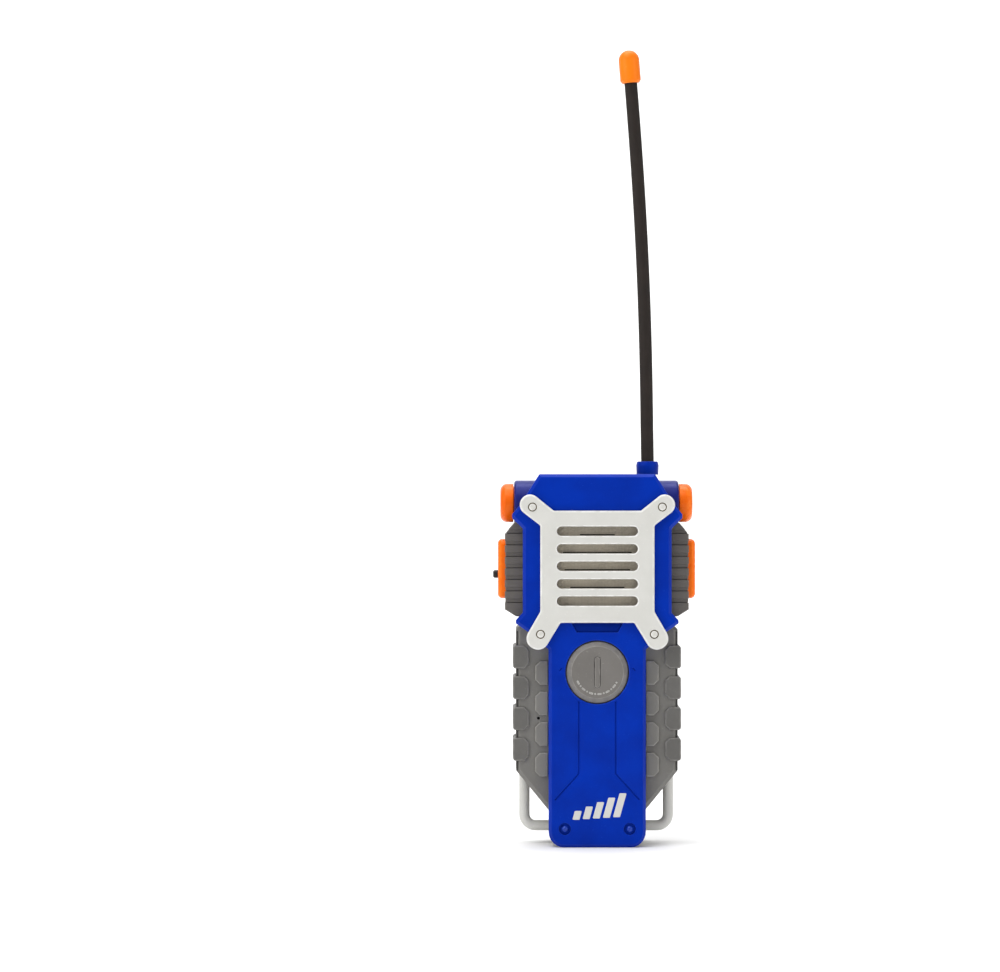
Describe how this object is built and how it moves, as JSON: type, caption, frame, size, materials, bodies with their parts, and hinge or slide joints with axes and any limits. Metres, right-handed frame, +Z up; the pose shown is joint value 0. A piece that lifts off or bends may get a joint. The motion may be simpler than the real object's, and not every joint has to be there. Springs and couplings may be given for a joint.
{
  "type": "toy walkie talkie",
  "caption": "Hand-held toy two-way radio with a long flexible antenna, a speaker grille, push buttons, a carry loop and a belt clip.",
  "frame": {"origin": "on the surface that it stands on, under the middle of the foot, 2 mm in front of the plane where the two halves of the casing meet", "axes": "+Z up along the body, +X to the right seen from the front, the speaker grille and buttons face -Y"},
  "size_m": [0.0785, 0.0456, 0.3094],
  "materials": {
    "head_blue": "moulded blue plastic, satin",
    "bar_blue": "moulded violet-blue plastic, satin",
    "case_grey": "moulded warm grey plastic, fine texture",
    "button_grey": "moulded grey plastic, satin",
    "off_white": "moulded off-white plastic, satin",
    "orange": "moulded orange plastic, satin",
    "antenna_black": "black-brown rubber sleeve",
    "switch_black": "black plastic",
    "steel": "plated steel",
    "speaker_cloth": "tan-grey woven speaker cloth on card",
    "board_green": "green circuit board",
    "cone_paper": "black paper cone",
    "wire_red": "red wire insulation",
    "wire_black": "black wire insulation",
    "copper": "enamelled copper wire"
  },
  "bodies": {
    "casing": {"antenna_collar": "head_blue", "antenna_nut": "steel", "antenna_tip": "orange", "antenna_whip": "antenna_black", "audio_chip": "switch_black", "bar_cap_left": "orange", "bar_cap_right": "orange", "battery_9v": "steel", "battery_lead_black": "wire_black", "battery_lead_red": "wire_red", "battery_snap": "switch_black", "board_screw_left": "steel", "board_screw_right": "steel", "capacitor": "switch_black", "carry_loop": "off_white", "case_screw_1": "steel", "case_screw_2": "steel", "case_screw_3": "steel", "case_screw_4": "steel", "circuit_board": "board_green", "clip_pin": "steel", "clip_spring": "steel", "cover_rivet_left": "head_blue", "cover_rivet_right": "head_blue", "crossbar_tube": "bar_blue", "crystal": "steel", "front_shell": "case_grey", "grille_pin_1": "off_white", "grille_pin_2": "off_white", "grille_pin_3": "off_white", "grille_pin_4": "off_white", "head_cover": "head_blue", "loading_coil": "copper", "microphone": "steel", "morse_spring": "steel", "morse_switch": "switch_black", "power_switch": "steel", "rear_shell": "case_grey", "side_grip_left": "case_grey", "side_grip_right": "case_grey", "speaker_cloth": "speaker_cloth", "speaker_cone": "cone_paper", "speaker_frame": "steel", "speaker_grille": "off_white", "speaker_magnet": "steel", "switch_plate": "orange", "talk_spring": "steel", "talk_switch": "switch_black", "tuning_coil": "steel"},
    "talk_button": {"talk_button": "orange"},
    "talk_plunger": {"talk_plunger": "off_white"},
    "morse_button": {"morse_button": "button_grey"},
    "morse_plunger": {"morse_plunger": "off_white"},
    "power_slider": {"power_slider": "switch_black"},
    "belt_clip": {"belt_clip": "case_grey"},
    "battery_door": {"battery_door": "case_grey", "door_screw": "steel"}
  },
  "joints": [
    {"name": "talk_press", "type": "slide", "parent": "casing", "child": "talk_button", "axis": [-1, 0, 0], "range_m": [0, 0.0022], "stiffness_N_per_m": 300, "springref_m": -0.002, "deforming": ["talk_spring"]},
    {"name": "talk_plunge", "type": "slide", "parent": "casing", "child": "talk_plunger", "axis": [-1, 0, 0], "range_m": [0, 0.0022]},
    {"name": "morse_press", "type": "slide", "parent": "casing", "child": "morse_button", "axis": [0, 1, 0], "range_m": [0, 0.0015], "stiffness_N_per_m": 300, "springref_m": -0.0015, "deforming": ["morse_spring"]},
    {"name": "morse_plunge", "type": "slide", "parent": "casing", "child": "morse_plunger", "axis": [0, 1, 0], "range_m": [0, 0.0015]},
    {"name": "power_slide", "type": "slide", "parent": "casing", "child": "power_slider", "axis": [0, 0, 1], "range_m": [0, 0.0035]},
    {"name": "clip_hinge", "type": "hinge", "parent": "casing", "child": "belt_clip", "pos_m": [0, 0.0232, 0.121], "axis": [1, 0, 0], "range_deg": [0, 15], "stiffness_Nm_per_rad": 0.25, "springref_deg": -5.73},
    {"name": "door_hinge", "type": "hinge", "parent": "casing", "child": "battery_door", "pos_m": [0, 0.019, 0.007], "axis": [-1, 0, 0], "range_deg": [0, 60]}
  ],
  "couplings": [
    {"joint": "talk_plunge", "follows": "talk_press", "ratio": 1},
    {"joint": "morse_plunge", "follows": "morse_press", "ratio": 1}
  ]
}
